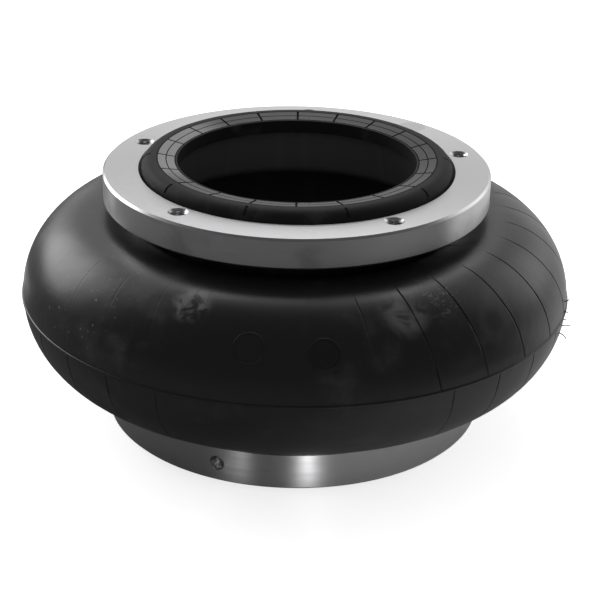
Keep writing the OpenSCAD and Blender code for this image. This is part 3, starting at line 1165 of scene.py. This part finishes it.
class BELLOWS_OT_sealing_beads(bpy.types.Operator):
    """Build the sealing beads with their rings of pads, grooves and nicks"""

    bl_idname = "bellows.sealing_beads"
    bl_label = "Sealing beads"

    def execute(self, context):
        scene = context.scene
        section = Section(scene)
        bead = section.bead
        finish = bead_finish(scene)
        pitch = TURN / bead.pads
        slope = bead.pad_slope / section.face_r
        half_break = bead.pad_break / 2 / section.face_r - slope
        plain = (pitch - 2 * half_break - 2 * slope) / PAD_COLUMNS
        for end in (TOP, BOTTOM):
            bm = bmesh.new()
            draw_bead(Pen(bm, end.face_z, end.side), section, end)
            columns = [half_break, slope, *[plain] * PAD_COLUMNS, slope, half_break]
            revolve_in_sectors(bm, bead.pads, columns)
            cut_breaks(bm, section, end)
            bmesh.ops.recalc_face_normals(bm, faces=bm.faces)
            edges = [
                edge
                for edge in bm.edges
                if edge.calc_face_angle(0) > SHARP_EDGE
                and (edge.verts[0].co.z - end.face_z) * end.side > bead.proud - 2 * bead.lip_drop
            ]
            round_edges(bm, edges, bead.edge, PAD_EDGE_STEPS)
            piece = make_piece(f"{end.name}_bead_rubber", bm, finish, end.body)
            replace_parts(piece, f"{end.name}_sealing_bead")
        return {"FINISHED"}


# Rounding of the tab's corners as a share of its width, and its lift as a share of its thickness
TAB_ROUND = 0.45
TAB_EDGE_STEPS = 5
TAB_LIFT = 0.6


class BELLOWS_OT_flash_tab(bpy.types.Operator):
    """Build the thin tab of moulding flash that lies on the top ring at the far side"""

    bl_idname = "bellows.flash_tab"
    bl_label = "Flash tab"

    def execute(self, context):
        bead = context.scene.bellows_bead
        section = Section(context.scene)
        bm = bmesh.new()
        size = Matrix.Diagonal((bead.tab_length, bead.tab_width, bead.tab_thickness, 1))
        bmesh.ops.create_cube(bm, size=1, matrix=size)
        corners = [edge for edge in bm.edges if abs(edge.verts[0].co.z - edge.verts[1].co.z) > MERGE]
        round_edges(bm, corners, bead.tab_width * TAB_ROUND, TAB_EDGE_STEPS)
        radius = section.neck_r + bead.seat_step
        spot = Matrix.Translation((0, radius, TOP_FACE_Z + bead.tab_thickness * TAB_LIFT))
        bmesh.ops.transform(bm, matrix=Matrix.Rotation(bead.tab_turn, 4, "Z") @ spot, verts=bm.verts)
        make_piece("top_bead_flash_tab", bm, bpy.data.materials[BEAD_FINISH], TOP.body)
        return {"FINISHED"}


THREAD_STEPS = 20
# Half width of a thread as a share of its pitch, and how far its root is sunk as a share of its height
THREAD_FILL = 0.42
THREAD_SUNK = 0.1


def screw_thread(thread, core_r, depth):
    """A thread down the wall of a hole whose mouth is at the origin and which goes down."""
    bm = bmesh.new()
    pen = Pen(bm, -thread.lead, 1)
    wall = core_r + thread.height * THREAD_SUNK
    pen.to((wall, thread.pitch * THREAD_FILL))
    pen.to((core_r - thread.height, 0))
    pen.to((wall, -thread.pitch * THREAD_FILL))
    bmesh.ops.contextual_create(bm, geom=bm.verts[:])
    turns = (depth - thread.lead) / thread.pitch
    steps = round(turns * THREAD_STEPS)
    turn(bm, everything(bm), TURN * turns, steps, rise=-thread.pitch / THREAD_STEPS)
    return bm


def threads_on_circle(thread, end, mount, depth):
    """Threads in all holes of a bolt circle."""
    holes = bmesh.new()
    dims = MOUNTS[mount]["dims"]
    for number in range(dims["count"]):
        bm = screw_thread(thread, dims["hole_r_mm"] / MM_PER_M, depth)
        turned = Matrix.Rotation(thread.phase + number * TURN / dims["count"], 4, "Z")
        over = Matrix.Diagonal((1, 1, end.side, 1))
        place = Matrix.Translation((dims["pcd_mm"] / 2 / MM_PER_M, 0, end.face_z))
        bmesh.ops.transform(bm, matrix=turned @ place @ over, verts=bm.verts)
        join(holes, bm)
    return holes


class BELLOWS_OT_threads(bpy.types.Operator):
    """Cut screw threads in the tapped holes of both rings"""

    bl_idname = "bellows.threads"
    bl_label = "Screw threads"

    def execute(self, context):
        thread = context.scene.bellows_thread
        finish = thread_finish(context.scene)
        top = threads_on_circle(thread, TOP, "top_bolt_circle", thread.top_depth)
        make_piece("top_ring_threads", top, finish, TOP.ring_body)
        base = threads_on_circle(thread, BOTTOM, "base_bolt_circle", thread.base_depth)
        side_hole = MOUNTS["side_hole"]
        bm = screw_thread(thread, side_hole["dims"]["r_mm"] / MM_PER_M, thread.side_depth)
        axis = Vector(side_hole["axis"])
        mouth = axis * context.scene.bellows_wall.ring_radius
        mouth.z = (BASE_FACE_Z + BASE_INNER_Z) / 2
        facing = axis.to_track_quat("Z", "Y").to_matrix().to_4x4()
        bmesh.ops.transform(bm, matrix=Matrix.Translation(mouth) @ facing, verts=bm.verts)
        join(base, bm)
        make_piece("base_ring_threads", base, finish, BOTTOM.ring_body)
        return {"FINISHED"}


class BELLOWS_OT_fixed_parts(bpy.types.Operator):
    """Give the rings, wire hoops and fillers of the frame their finishes"""

    bl_idname = "bellows.fixed_parts"
    bl_label = "Rings, hoops and fillers"

    def execute(self, context):
        scene = context.scene
        finishes = {
            "bead_ring": turned_metal_finish(scene),
            "bead_core": wire_finish(scene),
            "bead_filler": filler_finish(scene),
        }
        for end in (TOP, BOTTOM):
            for part, finish in finishes.items():
                mesh = frame["nodes"][f"{end.name}_{part}"].data
                mesh.materials.clear()
                mesh.materials.append(finish)
        return {"FINISHED"}


STRIP_BEAM = math.radians(28)
# Soft boxes and narrow strips: place, size, power in watts and width of the beam
SOFT_BOXES = {
    "key_soft_box": ((0.0, 1.05, 1.45), (1.3, 0.9), 7.5, HALF_TURN),
    "left_soft_box": ((-1.3, 1.0, 0.75), (1.0, 1.0), 9, HALF_TURN),
    "right_soft_box": ((1.4, 0.9, 0.8), (1.0, 1.0), 2.5, HALF_TURN),
    "bright_strip": ((0.021, -0.2, 0.017), (0.004, 0.02), 0.0013, STRIP_BEAM),
    "dim_strip": ((-0.074, -0.2, 0.017), (0.004, 0.02), 0.0006, STRIP_BEAM),
}
LIGHT_AIM = Vector((0, 0, 0.017))
FLOOR_SIDES = 96
FLOOR_GLOW = 0.74
FLAG_SLANT = 0.65
# Tones of the floor and of the room as the part mirrors them
FLAG_TONE = grey(0.20)
UNDER_TONE = grey(0.80)
UNDER_SPOT = (0.16, -0.10, 0)
WALL_LOW = grey(0.95)
WALL_HIGH = grey(0.55)
WALL_FLAG = grey(0.10)
ROOM_FRONT = grey(0.06)
BLACK = grey(0)
WHITE = grey(1)


class BELLOWS_OT_studio(bpy.types.Operator):
    """Build the floor, the lights and the camera"""

    bl_idname = "bellows.studio"
    bl_label = "Studio"

    def execute(self, context):
        scene = context.scene
        self.floor(scene)
        self.sky(scene)
        for name, (spot, size, power, beam) in SOFT_BOXES.items():
            self.soft_box(scene, name, Vector(spot), size, power, beam)
        self.camera(scene)
        scene.view_settings.view_transform = "Standard"
        return {"FINISHED"}

    def floor(self, scene):
        bm = bmesh.new()
        radius = scene.bellows_studio.floor_radius
        bmesh.ops.create_circle(bm, cap_ends=True, segments=FLOOR_SIDES, radius=radius)
        mesh = bpy.data.meshes.new("floor")
        bm.to_mesh(mesh)
        bm.free()
        floor = bpy.data.objects.new("floor", mesh)
        scene.collection.objects.link(floor)
        sheet = Finish("pale_floor")
        mesh.materials.append(
            sheet.surface(
                base_color=self.floor_tone(scene, sheet),
                roughness=0.9,
                specular=0.0,
                emission=self.floor_glow(sheet),
                emission_strength=FLOOR_GLOW,
            )
        )

    def lit_floor(self, sheet, right, back):
        """1 where the floor is bright in reflections: behind the part, but not far behind at the left."""
        near = sheet.rise(back + sheet.math("MINIMUM", right, 0) * FLAG_SLANT, -0.05, 0.05)
        far_left = sheet.rise(back, 0.20, 0.30) * sheet.rise(right, -0.10, 0.0, 1.0, 0.0)
        return near * (1 - far_left)

    def floor_glow(self, sheet):
        """White for the camera; in reflections it glows only behind the left edge."""
        right, back, _ = sheet.axes(sheet.place())
        behind = self.lit_floor(sheet, right, back) * sheet.rise(right, -0.30, -0.12, 1.0, 0.0)
        glow = sheet.larger(self.rays(sheet, "Camera"), self.rays(sheet, "Glossy") * behind)
        return sheet.mix(glow, BLACK, WHITE)

    def floor_tone(self, scene, sheet):
        """Pale floor; in reflections it is dark in front and at the left, as under black flags."""
        pale = rgb(scene.bellows_colours.floor)
        right, back, _ = sheet.axes(sheet.place())
        under = sheet.near(sheet.place(), UNDER_SPOT, 0.10, 0.24)
        mirrored = sheet.mix(under, FLAG_TONE, UNDER_TONE)
        mirrored = sheet.mix(self.lit_floor(sheet, right, back), mirrored, pale)
        return sheet.mix(self.rays(sheet, "Glossy"), pale, mirrored)

    def rays(self, sheet, kind):
        """1 for rays of one kind."""
        return sheet.node("ShaderNodeLightPath", output=f"Is {kind} Ray")

    def sky(self, scene):
        world = bpy.data.worlds.new("studio")
        world.use_nodes = True
        scene.world = world
        sheet = Sheet(world.node_tree)
        fill = scene.bellows_studio.fill
        right, back, up = sheet.axes(sheet.node("ShaderNodeTexCoord", output="Generated"))
        wall = sheet.mix(sheet.rise(up, 0.05, 0.38), WALL_LOW, WALL_HIGH)
        flagged = sheet.mix(sheet.rise(up, 0.08, 0.30), WALL_FLAG, WALL_LOW)
        wall = sheet.mix(sheet.rise(right, -0.65, -0.40, 1.0, 0.0), wall, flagged)
        mirrored = sheet.mix(sheet.rise(back, 0.0, 0.7), ROOM_FRONT, wall)
        light = sheet.mix(self.rays(sheet, "Glossy"), grey(fill), mirrored)
        light = sheet.mix(self.rays(sheet, "Camera"), light, WHITE)
        sheet.set(world.node_tree.nodes["Background"], "Color", light)

    def soft_box(self, scene, name, spot, size, power, beam):
        lamp = bpy.data.lights.new(name, "AREA")
        lamp.shape = "RECTANGLE"
        lamp.size, lamp.size_y = size
        lamp.energy = power
        lamp.spread = beam
        box = bpy.data.objects.new(name, lamp)
        box.location = spot
        box.rotation_euler = (LIGHT_AIM - spot).to_track_quat("-Z", "Y").to_euler()
        box.visible_camera = False
        scene.collection.objects.link(box)

    def camera(self, scene):
        studio = scene.bellows_studio
        lens = bpy.data.cameras.new("camera")
        lens.lens = studio.lens
        lens.shift_x = studio.shift_right
        lens.shift_y = studio.shift_up
        camera = bpy.data.objects.new("camera", lens)
        tilt = Matrix.Rotation(QUARTER_TURN - studio.elevation, 4, "X")
        back = tilt @ Matrix.Translation((0, 0, studio.distance)) @ Matrix.Rotation(studio.roll, 4, "Z")
        camera.matrix_world = Matrix.Translation((0, 0, studio.aim_height)) @ back
        scene.collection.objects.link(camera)
        scene.camera = camera


BUILD_ORDER = (
    BELLOWS_OT_fixed_parts,
    BELLOWS_OT_threads,
    BELLOWS_OT_layers,
    BELLOWS_OT_cover,
    BELLOWS_OT_mould_marks,
    BELLOWS_OT_vent_hairs,
    BELLOWS_OT_sealing_beads,
    BELLOWS_OT_flash_tab,
    BELLOWS_OT_studio,
)


class BELLOWS_PT_panel(bpy.types.Panel):
    """Lists the pieces of the bellows in the order they are built"""

    bl_idname = "BELLOWS_PT_panel"
    bl_label = "Air bellows"
    bl_space_type = "VIEW_3D"
    bl_region_type = "UI"
    bl_category = "Bellows"

    def draw(self, context):
        for operator in BUILD_ORDER:
            self.layout.operator(operator.bl_idname)


CLASSES = (*GROUPS.values(), *BUILD_ORDER, BELLOWS_PT_panel)


def register():
    for item in CLASSES:
        bpy.utils.register_class(item)
    for name, group in GROUPS.items():
        setattr(bpy.types.Scene, name, PointerProperty(type=group))


def unregister():
    for name in GROUPS:
        delattr(bpy.types.Scene, name)
    for item in reversed(CLASSES):
        bpy.utils.unregister_class(item)


def main():
    register()
    bpy.ops.bellows.fixed_parts()
    bpy.ops.bellows.threads()
    bpy.ops.bellows.layers()
    bpy.ops.bellows.cover()
    bpy.ops.bellows.mould_marks()
    bpy.ops.bellows.vent_hairs()
    bpy.ops.bellows.sealing_beads()
    bpy.ops.bellows.flash_tab()
    bpy.ops.bellows.studio()


if __name__ == "__main__":
    main()
